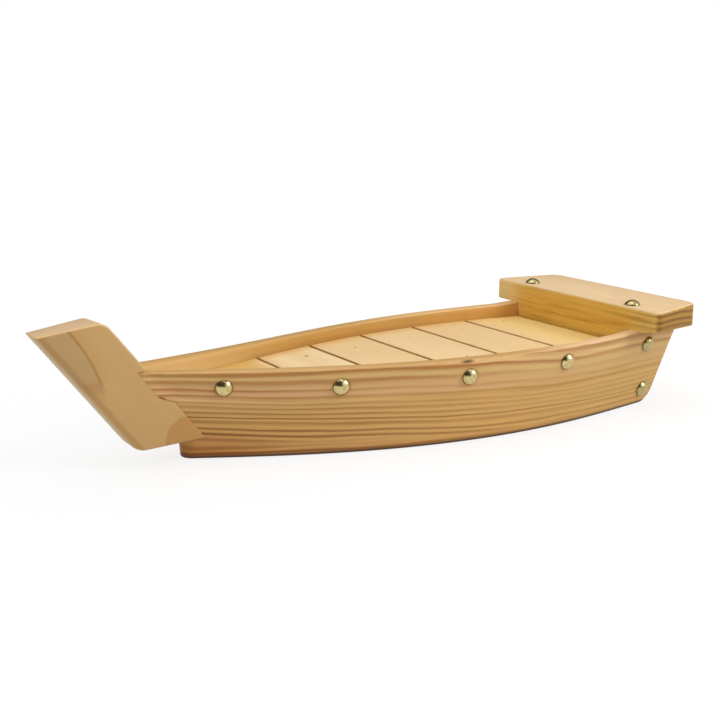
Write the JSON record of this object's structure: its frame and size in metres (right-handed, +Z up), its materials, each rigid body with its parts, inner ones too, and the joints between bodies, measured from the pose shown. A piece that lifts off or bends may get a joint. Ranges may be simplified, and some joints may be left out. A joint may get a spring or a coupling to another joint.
{
  "type": "sushi boat",
  "caption": "Wooden serving boat with a raked stem, bent side planks, a slatted deck that forms a shallow tray, a stern seat board and brass dome tacks.",
  "frame": {"origin": "on the ground, midway along and across the boat", "axes": "+X from bow to stern, +Y to starboard, +Z up from the surface the boat stands on"},
  "size_m": [0.4194, 0.1592, 0.0836],
  "materials": {
    "plank_pine": "sanded pine with strong straight grain",
    "stem_pine": "smooth sanded pine",
    "deck_pine": "pale bare pine",
    "stern_pine": "sanded pine",
    "inside_pine": "sawn pine",
    "tack_brass": "polished",
    "pin_steel": "dull"
  },
  "bodies": {
    "root": {"side_plank_port": "plank_pine", "side_plank_starboard": "plank_pine", "stem": "stem_pine", "bottom_board": "inside_pine", "frame_fore": "inside_pine", "frame_mid": "inside_pine", "frame_aft": "inside_pine", "deck_batten_port": "inside_pine", "deck_batten_starboard": "inside_pine", "foredeck": "deck_pine", "deck_slat_1": "deck_pine", "deck_slat_2": "deck_pine", "deck_slat_3": "deck_pine", "deck_slat_4": "deck_pine", "deck_slat_5": "deck_pine", "transom": "stern_pine", "stern_seat": "stern_pine", "side_tack_port_1": "tack_brass", "side_tack_port_2": "tack_brass", "side_tack_port_3": "tack_brass", "side_tack_port_4": "tack_brass", "side_tack_port_5": "tack_brass", "side_tack_port_6": "tack_brass", "side_tack_starboard_1": "tack_brass", "side_tack_starboard_2": "tack_brass", "side_tack_starboard_3": "tack_brass", "side_tack_starboard_4": "tack_brass", "side_tack_starboard_5": "tack_brass", "side_tack_starboard_6": "tack_brass", "seat_tack_port": "tack_brass", "seat_tack_starboard": "tack_brass", "slat_pin_port_1": "pin_steel", "slat_pin_port_2": "pin_steel", "slat_pin_port_3": "pin_steel", "slat_pin_port_4": "pin_steel", "slat_pin_port_5": "pin_steel", "slat_pin_starboard_1": "pin_steel", "slat_pin_starboard_2": "pin_steel", "slat_pin_starboard_3": "pin_steel", "slat_pin_starboard_4": "pin_steel", "slat_pin_starboard_5": "pin_steel"}
  },
  "joints": []
}
